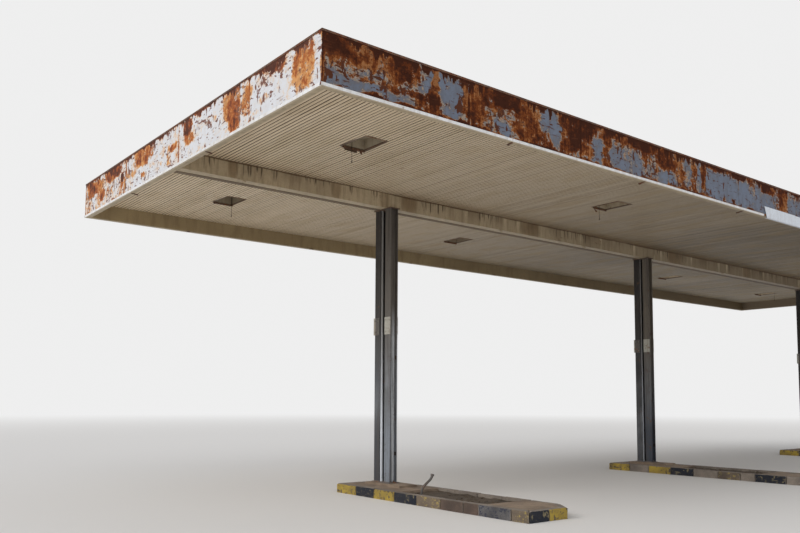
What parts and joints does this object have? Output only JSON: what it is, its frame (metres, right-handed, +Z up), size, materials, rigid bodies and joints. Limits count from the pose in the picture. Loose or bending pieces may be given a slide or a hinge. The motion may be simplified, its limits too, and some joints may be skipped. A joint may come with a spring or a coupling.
{
  "type": "filling station canopy",
  "caption": "Disused filling station canopy: a long flat roof with a rusted steel fascia and slatted ceiling on twin-post columns, each standing on a low pump island.",
  "frame": {"origin": "on the ground under the middle of the roof", "axes": "+X along the roof, +Y across it towards the back, +Z up"},
  "size_m": [23.956, 8.222, 5.651],
  "materials": {
    "rusted_fascia": "rusted paint",
    "white_fascia": "weathered paint",
    "dark_edge": "rusted",
    "white_trim": "weathered paint",
    "beige_beam": "stained paint",
    "ceiling_slats": "weathered paint",
    "hidden_steel": "dull paint",
    "roof_sheet": "weathered zinc",
    "light_box": "dirty paint",
    "post_paint": "worn paint",
    "patch_sheet": "weathered paint",
    "black_pipe": "dull paint",
    "zinc_pipe": "weathered zinc",
    "batten_plate": "worn paint",
    "kerb_stone": "worn paint on concrete",
    "concrete": "rough concrete"
  },
  "bodies": {
    "root": {"front_fascia": "rusted_fascia", "back_fascia": "rusted_fascia", "left_fascia": "white_fascia", "right_fascia": "white_fascia", "top_capping": "dark_edge", "drip_trim": "white_trim", "patch_panel": "patch_sheet", "bent_pipe": "black_pipe", "front_edge_beam": "beige_beam", "back_edge_beam": "beige_beam", "left_edge_beam": "beige_beam", "right_edge_beam": "beige_beam", "fascia_posts": "hidden_steel", "front_girder": "hidden_steel", "back_girder": "hidden_steel", "beam_side_cladding": "beige_beam", "beam_bottom_cladding": "beige_beam", "beam_back_cladding": "beige_beam", "front_ceiling": "ceiling_slats", "back_ceiling": "ceiling_slats", "front_light_boxes": "light_box", "back_light_boxes": "light_box", "light_frames": "light_box", "light_rods": "light_box", "cross_beams": "hidden_steel", "purlins": "hidden_steel", "front_roof_sheet": "roof_sheet", "back_roof_sheet": "roof_sheet", "centre_gutter": "roof_sheet", "left_front_post": "post_paint", "left_back_post": "post_paint", "middle_front_post": "post_paint", "middle_back_post": "post_paint", "right_front_post": "post_paint", "right_back_post": "post_paint", "column_battens": "batten_plate", "head_plates": "hidden_steel", "base_plates": "batten_plate", "downpipes": "zinc_pipe", "left_kerb": "kerb_stone", "middle_kerb": "kerb_stone", "right_kerb": "kerb_stone", "left_infill": "concrete", "middle_infill": "concrete", "right_infill": "concrete"}
  },
  "joints": []
}
